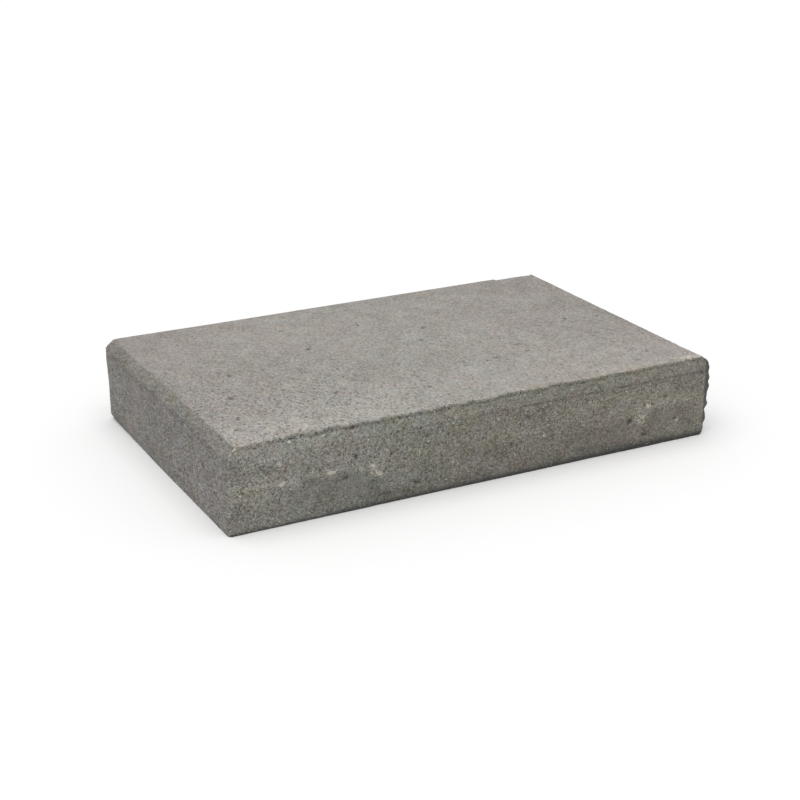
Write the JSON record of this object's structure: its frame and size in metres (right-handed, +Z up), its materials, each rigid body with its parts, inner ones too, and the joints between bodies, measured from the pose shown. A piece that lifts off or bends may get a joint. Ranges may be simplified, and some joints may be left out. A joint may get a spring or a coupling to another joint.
{
  "type": "concrete wall cap",
  "caption": "Rectangular cast concrete slab with chamfered ends, laid flat on a bed of adhesive or mortar to finish the top of a wall.",
  "frame": {"origin": "centre of the bed face, on the surface the cap lies on", "axes": "+X along the wall, the cap's length; -Y towards the front face that carries the mould line; +Z up, from the bed to the top face"},
  "size_m": [0.4064, 0.254, 0.0667],
  "materials": {
    "concrete": "matte"
  },
  "bodies": {
    "root": {"wall_cap": "concrete"}
  },
  "joints": []
}
